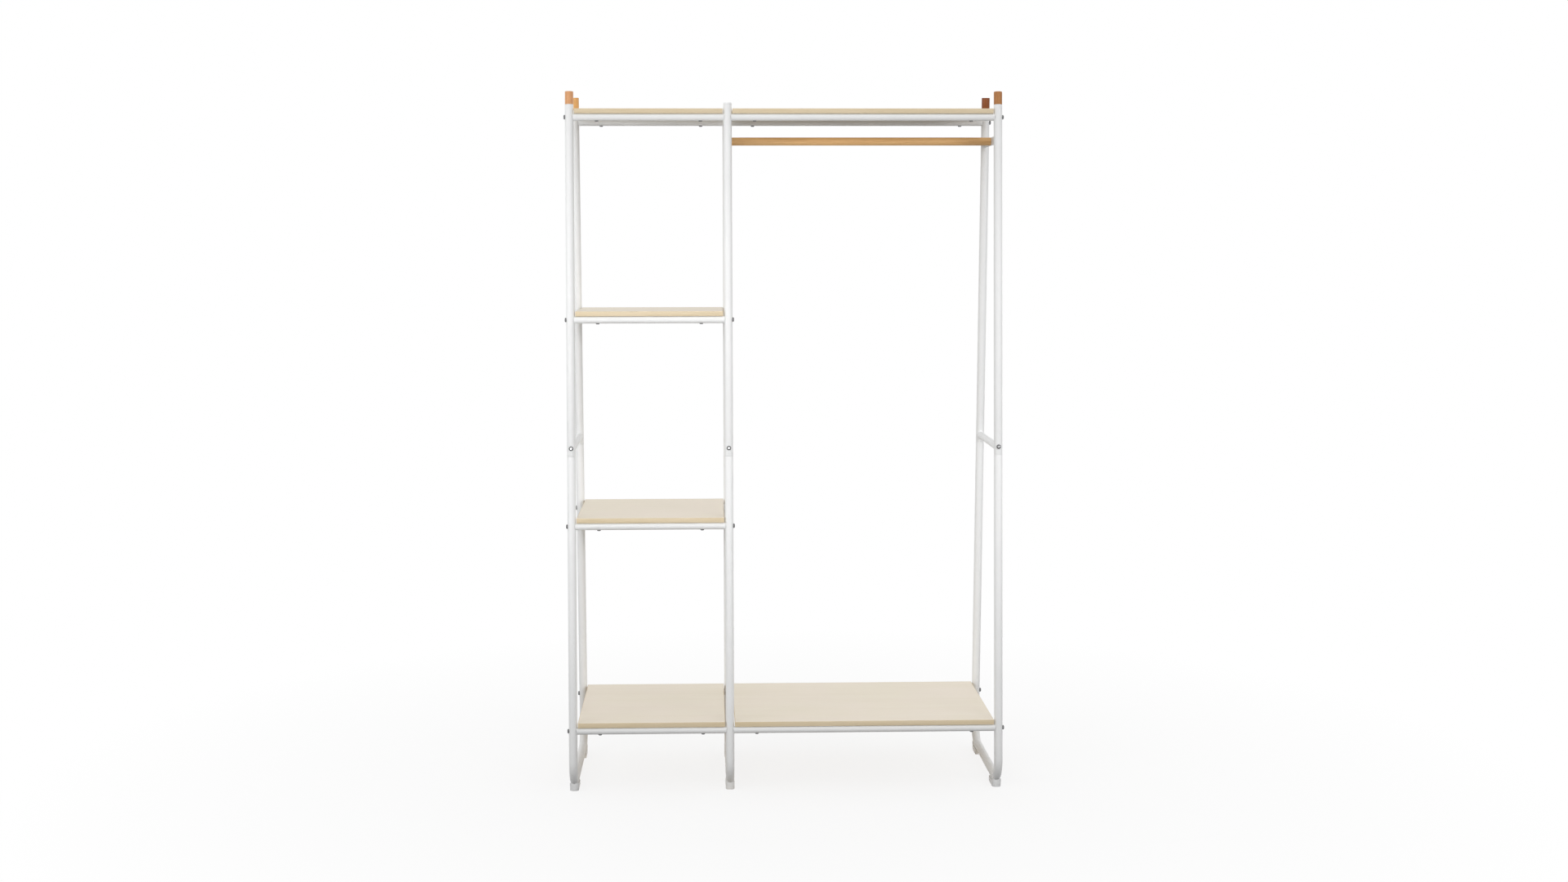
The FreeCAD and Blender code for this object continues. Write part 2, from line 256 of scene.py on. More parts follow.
def grainGroup():
    # long fibres along X: tone bands, fine pores and a slow drift
    tree, source, sink = newGroup("woodFibre", {"Band Scale": 40.0, "Stretch": 0.06, "Ring Warp": 0.6},
                                  ["Tone", "Pores", "Drift"])
    split = addNode(tree, "ShaderNodeSeparateXYZ", {"Vector": source["Vector"]}).outputs
    shortX = addMath(tree, "MULTIPLY", split["X"], source["Stretch"])
    drawn = addNode(tree, "ShaderNodeCombineXYZ", {"X": shortX, "Y": split["Y"], "Z": split["Z"]}).outputs[0]
    bands = addNoise(tree, drawn, source["Band Scale"], distortion=source["Ring Warp"], **fibreLook["bands"])
    fineScale = addMath(tree, "MULTIPLY", source["Band Scale"], fibreLook["fineTimes"])
    fibres = addNoise(tree, drawn, fineScale, **fibreLook["fine"])
    slow = addNoise(tree, source["Vector"], fibreLook["driftScale"])
    tone = addNode(tree, "ShaderNodeMix", {"Factor": fibreLook["fineShare"], "A": bands, "B": fibres},
                   data_type="FLOAT").outputs[0]
    drift = remap(tree, slow, fibreLook["driftRange"], (0, fibreLook["driftMost"]))
    tree.links.new(tone, sink["Tone"])
    tree.links.new(remap(tree, fibres, fibreLook["poreRange"]), sink["Pores"])
    tree.links.new(drift, sink["Drift"])
    return tree


peelLook = {"peel": {"detail": 2.0, "roughness": 0.4}, "driftScale": 14.0, "driftDetail": 3.0}


def peelGroup():
    # small rounded orange peel with a slow wave under it
    tree, source, sink = newGroup("coatPeel", {"Peel Scale": 900.0}, ["Height", "Drift"])
    peel = addNoise(tree, source["Vector"], source["Peel Scale"], **peelLook["peel"])
    drift = addNoise(tree, source["Vector"], peelLook["driftScale"], detail=peelLook["driftDetail"])
    tree.links.new(peel, sink["Height"])
    tree.links.new(drift, sink["Drift"])
    return tree


scuffLook = {"marks": {"detail": 5.0, "roughness": 0.65, "distortion": 0.8}, "markRange": (0.52, 0.70)}


def scuffGroup():
    # sparse short marks, stronger near the floor
    tree, source, sink = newGroup("floorScuffs", {"Mark Scale": 160.0, "Fade Height": 0.05}, ["Mask"])
    marks = addNoise(tree, source["Vector"], source["Mark Scale"], **scuffLook["marks"])
    marked = remap(tree, marks, scuffLook["markRange"])
    height = addNode(tree, "ShaderNodeSeparateXYZ", {"Vector": source["Vector"]}).outputs["Z"]
    low = remap(tree, height, (source["Fade Height"], 0))
    tree.links.new(addMath(tree, "MULTIPLY", marked, low), sink["Mask"])
    return tree


fibreTree = grainGroup()
peelTree = peelGroup()
scuffTree = scuffGroup()

# finishes

def newFinish(name):
    finish = bpy.data.materials.new(name)
    finish.use_nodes = True
    tree = finish.node_tree
    place = addNode(tree, "ShaderNodeTexCoord").outputs["Object"]
    return finish, tree, tree.nodes["Principled BSDF"], place


def useGroup(tree, group, values):
    return addNode(tree, "ShaderNodeGroup", values, node_tree=group).outputs


def addBump(tree, shader, height, strength, distance):
    bump = addNode(tree, "ShaderNodeBump", {"Height": height, "Strength": strength, "Distance": distance})
    tree.links.new(bump.outputs["Normal"], shader.inputs["Normal"])


whites = {
    # the coat on the steel, and the moulded feet and plugs; roughBy is the peel output that roughness follows
    "whitePowderCoat": {
        "stops": [(0.35, (0.862, 0.868, 0.868)), (0.62, (0.88, 0.885, 0.885))],
        "scuff": (0.52, 0.51, 0.48), "scuffShare": 0.25, "markScale": 120.0, "markHeight": 0.12,
        "peelScale": 850.0, "roughBy": "Drift", "rough": (0.36, 0.46), "specular": 0.4,
        "bump": 0.10, "bumpDepth": 0.0003},
    "whiteMouldedPlastic": {
        "stops": [(0.35, (0.92, 0.925, 0.925)), (0.65, (0.94, 0.945, 0.945))],
        "scuff": (0.55, 0.54, 0.51), "scuffShare": 0.22, "markScale": 240.0, "markHeight": 0.008,
        "peelScale": 1600.0, "roughBy": "Height", "rough": (0.42, 0.58), "specular": 0.45,
        "bump": 0.22, "bumpDepth": 0.0002},
}


def whiteFinish(name):
    look = whites[name]
    finish, tree, shader, place = newFinish(name)
    peel = useGroup(tree, peelTree, {"Vector": place, "Peel Scale": look["peelScale"]})
    marks = useGroup(tree, scuffTree, {"Vector": place, "Mark Scale": look["markScale"],
                                       "Fade Height": look["markHeight"]})
    tone = ramp(tree, peel["Drift"], look["stops"])
    faded = addMath(tree, "MULTIPLY", marks["Mask"], look["scuffShare"])
    tree.links.new(blendColour(tree, faded, tone, look["scuff"]), shader.inputs["Base Color"])
    tree.links.new(remap(tree, peel[look["roughBy"]], end=look["rough"]), shader.inputs["Roughness"])
    shader.inputs["Specular IOR Level"].default_value = look["specular"]
    addBump(tree, shader, peel["Height"], look["bump"], look["bumpDepth"])
    return finish


woods = {
    # pale washed print on the boards, its band, and the plain wood of rod and caps
    "boardFace": {
        "stops": [(0.25, (0.87, 0.785, 0.635)), (0.50, (0.90, 0.82, 0.675)), (0.75, (0.915, 0.85, 0.71))],
        "turn": (0, 0, 0), "bandScale": 26.0, "stretch": 0.07, "rough": (0.42, 0.55), "bump": 0.06,
        "poreColour": (0.78, 0.68, 0.54), "poreShare": 0.12, "driftColour": (0.93, 0.825, 0.725)},
    "boardBand": {
        "stops": [(0.30, (0.69, 0.56, 0.36)), (0.55, (0.77, 0.64, 0.44)), (0.75, (0.80, 0.68, 0.49))],
        "turn": (0, 0, 0), "bandScale": 60.0, "stretch": 0.05, "rough": (0.45, 0.55), "bump": 0.05,
        "poreColour": (0.50, 0.38, 0.21), "poreShare": 0.15, "driftColour": (0.77, 0.65, 0.47)},
    "rodWood": {
        "stops": [(0.30, (0.64, 0.345, 0.13)), (0.50, (0.82, 0.49, 0.21)), (0.70, (0.89, 0.59, 0.285))],
        "turn": (0, 0, 0), "bandScale": 110.0, "stretch": 0.035, "rough": (0.36, 0.5), "bump": 0.12,
        "poreColour": (0.34, 0.15, 0.05), "poreShare": 0.28, "driftColour": (0.85, 0.53, 0.245)},
    "capWood": {
        "stops": [(0.30, (0.44, 0.20, 0.075)), (0.50, (0.60, 0.31, 0.13)), (0.70, (0.69, 0.40, 0.19))],
        "turn": (0, quarterTurn, 0), "bandScale": 130.0, "stretch": 0.05, "rough": (0.36, 0.5), "bump": 0.12,
        "poreColour": (0.32, 0.13, 0.045), "poreShare": 0.28, "driftColour": (0.64, 0.33, 0.14)},
}
woodCoat = {"specular": 0.35, "bumpDepth": 0.0003}      # the same on every wood


def woodFinish(name, look):
    finish, tree, shader, place = newFinish(name)
    turned = addNode(tree, "ShaderNodeMapping", {"Vector": place, "Rotation": look["turn"]}).outputs[0]
    fibre = useGroup(tree, fibreTree, {"Vector": turned, "Band Scale": look["bandScale"],
                                       "Stretch": look["stretch"]})
    tone = blendColour(tree, fibre["Drift"], ramp(tree, fibre["Tone"], look["stops"]), look["driftColour"])
    poreMask = addMath(tree, "SUBTRACT", 1.0, fibre["Pores"])
    faded = addMath(tree, "MULTIPLY", poreMask, look["poreShare"])
    tree.links.new(blendColour(tree, faded, tone, look["poreColour"]), shader.inputs["Base Color"])
    tree.links.new(remap(tree, fibre["Tone"], end=look["rough"]), shader.inputs["Roughness"])
    shader.inputs["Specular IOR Level"].default_value = woodCoat["specular"]
    addBump(tree, shader, fibre["Pores"], look["bump"], woodCoat["bumpDepth"])
    return finish


capTones = {
    # each cap's red, green and blue as shares of capWood's: the left caps lighter, the right ones darker, the
    # rear right one darkest
    "left_front": (1.3, 1.27, 1.38), "left_rear": (1.3, 1.33, 1.1),
    "right_front": (0.78, 0.64, 0.47), "right_rear": (0.45, 0.23, 0.08),
}


def capFinish(cornerName):
    def toned(colour):
        return tuple(part * share for part, share in zip(colour, capTones[cornerName]))

    look = dict(woods["capWood"])
    look["stops"] = [(stop, toned(colour)) for stop, colour in look["stops"]]
    look["poreColour"] = toned(look["poreColour"])
    look["driftColour"] = toned(look["driftColour"])
    return woodFinish(pieceName(cornerName) + "CapWood", look)


zincs = {
    # zinc as lit and shaded copies: the screw and bolt heads darkened with painted shade for a dark
    # reflection, and the bottoms of their sockets brighter as a painted highlight
    "zincHeadPaintedDark": {"stops": [(0.3, (0.13, 0.13, 0.132)), (0.7, (0.19, 0.19, 0.192))], "rough": (0.22, 0.34)},
    "zincSocketPaintedHighlight": {"stops": [(0.3, (0.56, 0.56, 0.56)), (0.7, (0.66, 0.66, 0.66))], "rough": (0.18, 0.3)},
}
zincGrain = {"scale": 2200.0, "bump": 0.1, "bumpDepth": 0.0002}


def zincFinish(name):
    look = zincs[name]
    finish, tree, shader, place = newFinish(name)
    peel = useGroup(tree, peelTree, {"Vector": place, "Peel Scale": zincGrain["scale"]})
    tree.links.new(ramp(tree, peel["Height"], look["stops"]), shader.inputs["Base Color"])
    tree.links.new(remap(tree, peel["Height"], end=look["rough"]), shader.inputs["Roughness"])
    shader.inputs["Metallic"].default_value = 1
    addBump(tree, shader, peel["Height"], zincGrain["bump"], zincGrain["bumpDepth"])
    return finish


whiteSteel = whiteFinish("whitePowderCoat")
whitePlastic = whiteFinish("whiteMouldedPlastic")
boardFace = woodFinish("boardFace", woods["boardFace"])
boardBand = woodFinish("boardBand", woods["boardBand"])
rodWood = woodFinish("rodWood", woods["rodWood"])
capWoods = {cornerName: capFinish(cornerName) for cornerName in capTones}
# zinc with painted light: dark heads as painted shade, bright socket bottoms as a painted highlight
zincHeadPaintedDark = zincFinish("zincHeadPaintedDark")
zincSocketPaintedHighlight = zincFinish("zincSocketPaintedHighlight")
print("finishes made")

# posts and bent lower frames

post = {"wall": 0.0012, "steps": 64, "lip": 0.0004, "lipSteps": 3}


def addPost(frameName, side):
    startZ = rack["seamZ"] + rack["seamGap"]
    length = (rack["postTopZ"] - startZ) / math.cos(rack["lean"])
    outer, inner = rack["tube"], rack["tube"] - post["wall"]
    bm = lathe([(outer, 0), (outer, length), (inner, length), (inner, 0)], post["steps"], closed=True)
    easeEdges(bm, post["lip"], post["lipSteps"])
    bm.transform(postPlace(frameName, side, startZ))
    dressNode(f"{frameName}_{side}_post", bm, [whiteSteel])


bend = {"barZ": 0.0205, "radius": 0.055, "steps": 28, "spigot": 0.00895, "spigotLength": 0.050,
        "shoulder": 0.0005, "shoulderSteps": 3}
bend["turn"] = quarterTurn + rack["lean"]
bend["startY"] = spanAt(bend["barZ"]) - bend["radius"] * math.tan(bend["turn"] / 2)
bend["centreZ"] = bend["barZ"] + bend["radius"]


def bentLeg(radius):
    # half a U at x = 0: bar, bend and front leg, open at both ends
    upright = Matrix.Translation((0, 0, bend["barZ"])) @ Matrix.Rotation(quarterTurn, 4, "X")
    bm = openRing(radius, post["steps"], upright)
    verts, ring = pushRing(bm, bm.edges[:], (0, -bend["startY"], 0))
    turned = bmesh.ops.spin(bm, geom=verts + ring, cent=(0, -bend["startY"], bend["centreZ"]), axis=(1, 0, 0),
                            dvec=(0, 0, 0), angle=-bend["turn"], steps=bend["steps"])["geom_last"]
    ring = onlyOf(bmesh.types.BMEdge, turned)
    legFootZ = bend["centreZ"] + bend["radius"] * math.sin(rack["lean"])
    legLength = (rack["seamZ"] - legFootZ) / math.cos(rack["lean"])
    upLeg = Vector((0, math.sin(rack["lean"]), math.cos(rack["lean"])))
    verts, ring = pushRing(bm, ring, upLeg * legLength)
    return bm, verts, ring, upLeg


def addLowerFrame(frameName):
    bm, verts, ring, upLeg = bentLeg(rack["tube"])
    top = Vector((0, -spanAt(rack["seamZ"]), rack["seamZ"]))
    # the end turns in to the spigot that slides up into the post
    bmesh.ops.translate(bm, verts=verts, vec=-upLeg * bend["shoulder"])
    for step in range(1, bend["shoulderSteps"] + 1):
        turn = quarterTurn * step / bend["shoulderSteps"]
        inset = bend["shoulder"] * (1 - math.cos(turn))
        drop = bend["shoulder"] * (1 - math.sin(turn))
        ring = sizeRing(bm, ring, top - upLeg * drop, rack["tube"] - inset)
    ring = sizeRing(bm, ring, top, bend["spigot"])
    pushRing(bm, ring, upLeg * bend["spigotLength"])
    bmesh.ops.mirror(bm, geom=bm.verts[:] + bm.edges[:] + bm.faces[:], axis="Y", merge_dist=tiny)
    wallIn(bm, post["wall"])
    bm.transform(Matrix.Translation((rack["frameX"][frameName], 0, 0)))
    dressNode(f"{frameName}_lower_frame", bm, [whiteSteel])


for frameName in rack["frameX"]:
    for side in sides:
        addPost(frameName, side)
    addLowerFrame(frameName)
print("posts and lower frames made")

# crossbars and flat bars, with their welds

cross = {"radius": 0.0086, "wall": 0.001, "steps": 56, "riseZ": 0.018, "gap": 0.0001}
cross["barZ"] = rack["seamZ"] + cross["riseZ"]


def postFace(x, z, gap):
    # how far out from the middle a post's inner face is, off to one side by x
    clear = rack["tube"] + gap
    return spanAt(z) - math.sqrt(max(clear * clear - x * x, 0)) / math.cos(rack["lean"])


def addCrossbar(frameName):
    bm = openRing(cross["radius"], cross["steps"], Matrix.Rotation(quarterTurn, 4, "X"))
    rear = bm.verts[:]
    front, _ = pushRing(bm, bm.edges[:], (0, 0, 0))
    for verts, sign in ((front, -1), (rear, 1)):
        for v in verts:
            v.co.y = sign * postFace(v.co.x, cross["barZ"] + v.co.z, cross["gap"])
    wallIn(bm, cross["wall"])
    bm.transform(Matrix.Translation((rack["frameX"][frameName], 0, cross["barZ"])))
    dressNode(f"{frameName}_crossbar", bm, [whiteSteel])


flatBar = {"height": 0.020, "thick": 0.003, "edge": 0.0006, "edgeSteps": 3, "gap": 0.0001}


def addFlatBar(frameName):
    bm = bmesh.new()
    bmesh.ops.create_cube(bm, size=1)
    for v in bm.verts:
        v.co.x *= flatBar["thick"]
        v.co.z *= flatBar["height"]
        v.co.y = math.copysign(postFace(0, rack["rodZ"] + v.co.z, flatBar["gap"]), v.co.y)
    easeEdges(bm, flatBar["edge"], flatBar["edgeSteps"],
              chosen=lambda e: abs(e.verts[0].co.y - e.verts[1].co.y) > flatBar["height"])
    bm.transform(Matrix.Translation((rack["frameX"][frameName], 0, rack["rodZ"])))
    dressNode(f"{frameName}_rod_bar", bm, [whiteSteel])


weld = {"radius": 0.0013, "section": 10, "ripple": 0.14, "sharp": 60,
        "ringSteps": 96, "ringRipples": 26,
        "seamLength": 0.019, "seamStep": 0.0012, "seamRipples": 13, "seamTip": (0.7, 0.4), "seamSink": 0.0002}


def weldRing(sign):
    # a bead round the crossbar's end, laid in small ripples
    bm = openRing(weld["radius"], weld["section"], Matrix.Translation((cross["radius"], 0, 0)))
    bmesh.ops.spin(bm, geom=bm.verts[:] + bm.edges[:], cent=(0, 0, 0), axis=(0, 1, 0), dvec=(0, 0, 0),
                   angle=2 * math.pi, steps=weld["ringSteps"], use_merge=True)
    bmesh.ops.remove_doubles(bm, verts=bm.verts, dist=tiny)
    for v in bm.verts:
        around = math.atan2(v.co.z, v.co.x)
        swell = 1 + weld["ripple"] * math.sin(weld["ringRipples"] * around)
        onRing = Vector((math.cos(around), 0, math.sin(around))) * cross["radius"]
        v.co = onRing + (v.co - onRing) * swell
        v.co.y += sign * postFace(onRing.x, cross["barZ"] + onRing.z, 0)
    bmesh.ops.recalc_face_normals(bm, faces=bm.faces)
    bm.transform(Matrix.Translation((0, 0, cross["barZ"])))
    return asMesh(bm, "weldRing")


def weldSeam(sign, face):
    # an upright bead in the corner of flat bar and post
    half = weld["seamLength"] / 2
    radius = weld["radius"]
    tipOut, tipUp = (share * radius for share in weld["seamTip"])
    profile = [(0, -half), (tipOut, tipUp - half), (radius, radius - half)]
    for step in range(1, weld["seamRipples"] + 1):
        swell = 1 + weld["ripple"] * (step % 2)
        profile.append((radius * swell, radius - half + step * weld["seamStep"]))
    profile += [(radius, half - radius), (tipOut, half - tipUp), (0, half)]
    bm = lathe(profile, weld["section"])
    out = sign * postFace(0, rack["rodZ"], -weld["seamSink"])
    spot = Vector((face * flatBar["thick"] / 2, out, rack["rodZ"]))
    bm.transform(Matrix.Translation(spot) @ Matrix.Rotation(sign * rack["lean"], 4, "X"))
    return asMesh(bm, "weldSeam")


for frameName, frameX in rack["frameX"].items():
    addCrossbar(frameName)
    beads = [weldRing(sign) for sign in sides.values()]
    if frameName != "left":
        addFlatBar(frameName)
        beads += [weldSeam(sign, face) for sign in sides.values() for face in (-1, 1)]
    bm = bmesh.new()
    for bead in beads:
        bm.from_mesh(bead)
    bm.transform(Matrix.Translation((frameX, 0, 0)))
    addPiece(bm, f"{frameName}Welds", [whiteSteel], sharp=weld["sharp"])
print("crossbars, flat bars and welds made")

# rails, boards and rod

rail = {"radius": 0.0086, "wall": 0.001, "steps": 56, "start": 0.0083, "gap": 0.00015}


def copeAt(dy, dz, sign):
    # where a rail's end meets the round of the post
    off = dy * math.cos(rack["lean"]) + sign * dz * math.sin(rack["lean"])
    clear = rack["tube"] + rail["gap"]
    return max(rail["start"], math.sqrt(max(clear * clear - off * off, 0)))


def addRail(shelf, side):
    level, leftFrame, rightFrame = shelves[shelf]
    sign = sides[side]
    z = rack["railZ"][level]
    bm = openRing(rail["radius"], rail["steps"], Matrix.Rotation(quarterTurn, 4, "Y"))
    left = bm.verts[:]
    right, _ = pushRing(bm, bm.edges[:], (0, 0, 0))
    for v in left:
        v.co.x = rack["frameX"][leftFrame] + copeAt(v.co.y, v.co.z, sign)
    for v in right:
        v.co.x = rack["frameX"][rightFrame] - copeAt(v.co.y, v.co.z, sign)
    wallIn(bm, rail["wall"])
    bm.transform(Matrix.Translation((0, sign * spanAt(z), z)))
    dressNode(f"{shelf}_{side}_rail", bm, [whiteSteel])


board = {"edge": 0.0008, "edgeSteps": 3, "band": 0.0005,
         "level": 0.999}                # a face whose normal has this much of Z is flat


def addBoard(shelf):
    node = f"{shelf}_board"
    low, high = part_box(node)
    bm = bmesh.new()
    bmesh.ops.create_cube(bm, size=1)
    bmesh.ops.scale(bm, vec=high - low, verts=bm.verts)
    bmesh.ops.translate(bm, vec=(low + high) / 2, verts=bm.verts)
    easeEdges(bm, board["edge"], board["edgeSteps"])
    flat = [f for f in bm.faces if abs(f.normal.z) > board["level"]]
    for face in flat:
        bmesh.ops.inset_region(bm, faces=[face], thickness=board["band"])
    for face in bm.faces:
        face.material_index = 0 if face in flat else 1
    dressNode(node, bm, [boardFace, boardBand])


rod = {"radius": 0.010, "steps": 64, "edge": 0.0008, "edgeSteps": 3}


def addRod():
    low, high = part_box("hanging_rod")
    length = high.x - low.x
    bm = lathe([(0, 0), (rod["radius"], 0), (rod["radius"], length), (0, length)], rod["steps"])
    easeEdges(bm, rod["edge"], rod["edgeSteps"])
    bm.transform(Matrix.Translation((low.x, 0, rack["rodZ"])) @ Matrix.Rotation(quarterTurn, 4, "Y"))
    dressNode("hanging_rod", bm, [rodWood])


for shelf in shelves:
    for side in sides:
        addRail(shelf, side)
    addBoard(shelf)
addRod()
print("rails, boards and rod made")

# caps, plugs and feet

cap = {"radius": 0.0101, "height": 0.031, "stem": 0.0089, "stemLength": 0.024, "steps": 64,
       "edge": 0.0014, "edgeSteps": 5, "foot": 0.0004, "footSteps": 2}
plug = {"radius": 0.0103, "height": 0.004, "stem": 0.0089, "stemLength": 0.014, "steps": 64,
        "edge": 0.0011, "edgeSteps": 4}
seatGap = 0.00015                       # along the post, under a cap or plug


def stopper(look):
    # a turned head with a stem under it, its top edge rounded
    head, stem = look["radius"], look["stem"]
    bm = lathe([(0, -look["stemLength"]), (stem, -look["stemLength"]), (stem, 0), (head, 0),
                (head, look["height"]), (0, look["height"])], look["steps"])
    easeEdges(bm, look["edge"], look["edgeSteps"],
              chosen=lambda e: min(v.co.z for v in e.verts) > look["height"] / 2)
    return bm


def seatOnPost(bm, frameName, side):
    seatZ = rack["postTopZ"] + seatGap * math.cos(rack["lean"])
    bm.transform(postPlace(frameName, side, seatZ))


def addCap(frameName, side):
    bm = stopper(cap)
    easeEdges(bm, cap["foot"], cap["footSteps"],
              chosen=lambda e: max(v.co.xy.length for v in e.verts) > cap["stem"] + tiny)
    seatOnPost(bm, frameName, side)
    dressNode(f"{frameName}_{side}_cap", bm, [capWoods[f"{frameName}_{side}"]])


def addPlug(side):
    bm = stopper(plug)
    seatOnPost(bm, "middle", side)
    dressNode(f"middle_{side}_plug", bm, [whitePlastic])


foot = {"setback": 0.0266, "length": 0.064, "width": 0.0216, "rimRise": 0.0023, "rimSteps": 12,
        "noseRound": 0.0098, "noseSteps": 10, "heelRound": 0.0016, "heelSteps": 4,
        "edge": 0.0005, "edgeSteps": 2, "clearance": 0.00025, "sharp": 30}


def standsAt(y):
    # picks the upright edges at this depth
    def picked(e):
        first, second = (v.co for v in e.verts)
        there = abs(first.y - y) < tiny and abs(second.y - y) < tiny
        return there and abs(first.z - second.z) > tiny

    return picked


def footMesh():
    front = -(spanAt(bend["barZ"]) - foot["setback"])
    heel = front + foot["length"]
    rimZ = bend["barZ"] - rack["tube"] + foot["rimRise"]
    rimRadius = bend["centreZ"] - rimZ
    half = foot["width"] / 2
    bm = bmesh.new()
    # side view: heel, rim along the bar, then the rim swept up with the bend
    outline = ((front, 0), (heel, 0), (heel, rimZ), (-bend["startY"], rimZ))
    corners = [bm.verts.new((-half, y, z)) for y, z in outline]
    for pair in zip(corners, corners[1:]):
        bm.edges.new(pair)
    sweep = math.asin((-bend["startY"] - front) / rimRadius)
    swept = bmesh.ops.spin(bm, geom=[corners[-1]], cent=(-half, -bend["startY"], bend["centreZ"]),
                           axis=(1, 0, 0), dvec=(0, 0, 0), angle=-sweep, steps=foot["rimSteps"])["geom_last"]
    nose = onlyOf(bmesh.types.BMVert, swept)[0]
    bm.edges.new((nose, corners[0]))
    bmesh.ops.contextual_create(bm, geom=bm.edges[:])
    grown = bmesh.ops.extrude_face_region(bm, geom=bm.faces[:])["geom"]
    bmesh.ops.translate(bm, verts=onlyOf(bmesh.types.BMVert, grown), vec=(foot["width"], 0, 0))
    bmesh.ops.recalc_face_normals(bm, faces=bm.faces)
    easeEdges(bm, foot["noseRound"], foot["noseSteps"], chosen=standsAt(front))
    easeEdges(bm, foot["heelRound"], foot["heelSteps"], chosen=standsAt(heel))
    easeEdges(bm, foot["edge"], foot["edgeSteps"], chosen=lambda e: all(abs(v.co.z) < tiny for v in e.verts))
    # the saddle is cut by the tube itself with a little room
    cutter, *_ = bentLeg(rack["tube"] + foot["clearance"])
    bmesh.ops.holes_fill(cutter, edges=[e for e in cutter.edges if e.is_boundary], sides=0)
    bmesh.ops.recalc_face_normals(cutter, faces=cutter.faces)
    block = bpy.data.objects.new("footBlock", asMesh(bm, "footBlock"))
    cut = bpy.data.objects.new("footCut", asMesh(cutter, "footCut"))
    for solid in (block, cut):
        scene.collection.objects.link(solid)
    groove = block.modifiers.new("groove", "BOOLEAN")
    groove.operation = "DIFFERENCE"
    groove.solver = "EXACT"
    groove.object = cut
    carved = bpy.data.meshes.new_from_object(block.evaluated_get(bpy.context.evaluated_depsgraph_get()))
    for solid in (block, cut):
        bpy.data.objects.remove(solid)
    return carved


footMaster = footMesh()
for frameName, frameX in rack["frameX"].items():
    for side, sign in sides.items():
        turn = Matrix.Rotation(quarterTurn * (1 + sign), 4, "Z")
        bm = scatter(footMaster, [Matrix.Translation((frameX, 0, 0)) @ turn])
        dressNode(f"{frameName}_{side}_foot", bm, [whitePlastic], foot["sharp"])
        if frameName == "middle":
            addPlug(side)
        else:
            addCap(frameName, side)
print("caps, plugs and feet made")

# bolts and screws

boltLook = {"head": 0.0055, "height": 0.0040, "rim": 0.0014, "socket": 0.0040, "sink": 0.0022,
            "shank": 0.0030, "reach": 0.0025, "lipShare": 1.3, "steps": 36, "domeSteps": 6}
screwLook = dict(boltLook, head=0.0045, height=0.0026, rim=0.0010, socket=0.0030, sink=0.0014, shank=0.0020)


def headMesh(look, name):
    # button head along Z: a dome, a hexagon socket sunk in it, and a stub of shank
    mouth = look["socket"] / 2
    lip = mouth * look["lipShare"]
    wide, rise = look["head"] - lip, look["height"] - look["rim"]
    profile = [(lip, look["height"])]
    for step in range(1, look["domeSteps"] + 1):
        turn = quarterTurn * step / look["domeSteps"]
        profile.append((lip + wide * math.sin(turn), look["rim"] + rise * math.cos(turn)))
    profile += [(look["head"], 0), (look["shank"], 0), (look["shank"], -look["reach"]), (0, -look["reach"])]
    bm = lathe(profile, look["steps"])
    mouthVerts, ring = pushRing(bm, [e for e in bm.edges if e.is_boundary], (0, 0, 0))
    for v in mouthVerts:
        turn = math.atan2(v.co.y, v.co.x)
        fold = (turn + sixthTurn / 2) % sixthTurn - sixthTurn / 2
        reach = mouth / math.cos(fold)
        v.co.x, v.co.y = reach * math.cos(turn), reach * math.sin(turn)
    _, ring = pushRing(bm, ring, (0, 0, -look["sink"]))
    bottom = bmesh.ops.contextual_create(bm, geom=ring)["faces"]
    bmesh.ops.recalc_face_normals(bm, faces=bm.faces)
    # the socket bottoms take the second finish, zinc painted brighter as a highlight
    for face in bottom:
        face.material_index = 1
    return asMesh(bm, name)


boltMaster = headMesh(boltLook, "boltMaster")
screwMaster = headMesh(screwLook, "screwMaster")
outward = {"left": -1, "right": 1}
facing = {way: Matrix.Rotation(sign * quarterTurn, 4, "Y") for way, sign in outward.items()}
facing["down"] = Matrix.Rotation(2 * quarterTurn, 4, "X")
fixings = {"seat": 0.0004, "jointZ": 0.840, "screwInset": 0.0655}


def addHeads(master, places, name):
    addPiece(scatter(master, places), name, [zincHeadPaintedDark, zincSocketPaintedHighlight])


def railBolts(frameName, way, levels):
    x = rack["frameX"][frameName] + outward[way] * (rack["tube"] - fixings["seat"])
    places = []
    for level in levels:
        z = rack["railZ"][level]
        places += [Matrix.Translation((x, sign * spanAt(z), z)) @ facing[way] for sign in sides.values()]
    addHeads(boltMaster, places, f"{frameName}RailBolts")


railBolts("left", "left", ["top", "second", "third", "bottom"])
railBolts("middle", "right", ["second", "third"])
railBolts("right", "right", ["top", "bottom"])


def jointPlace(frameName, side):
    turn = Matrix.Rotation(-sides[side] * quarterTurn, 4, "X")
    lift = Matrix.Translation((0, 0, rack["tube"] - fixings["seat"]))
    return postPlace(frameName, side, fixings["jointZ"]) @ turn @ lift


joints = [jointPlace(frameName, side) for frameName in rack["frameX"] for side in sides]
addHeads(boltMaster, joints, "jointBolts")

under = []
for level, leftFrame, rightFrame in shelves.values():
    z = rack["railZ"][level]
    leftX = rack["frameX"][leftFrame] + fixings["screwInset"]
    rightX = rack["frameX"][rightFrame] - fixings["screwInset"]
    for x in (leftX, rightX):
        for sign in sides.values():
            spot = Vector((x, sign * spanAt(z), z - rail["radius"] + fixings["seat"]))
            under.append(Matrix.Translation(spot) @ facing["down"])
addHeads(screwMaster, under, "boardScrews")

rodEnds = []
for frameName, way in (("middle", "left"), ("right", "right")):
    x = rack["frameX"][frameName] + outward[way] * flatBar["thick"] / 2
    rodEnds.append(Matrix.Translation((x, 0, rack["rodZ"])) @ facing[way])
addHeads(screwMaster, rodEnds, "rodScrews")
print("bolts and screws made")

# floor, light and camera

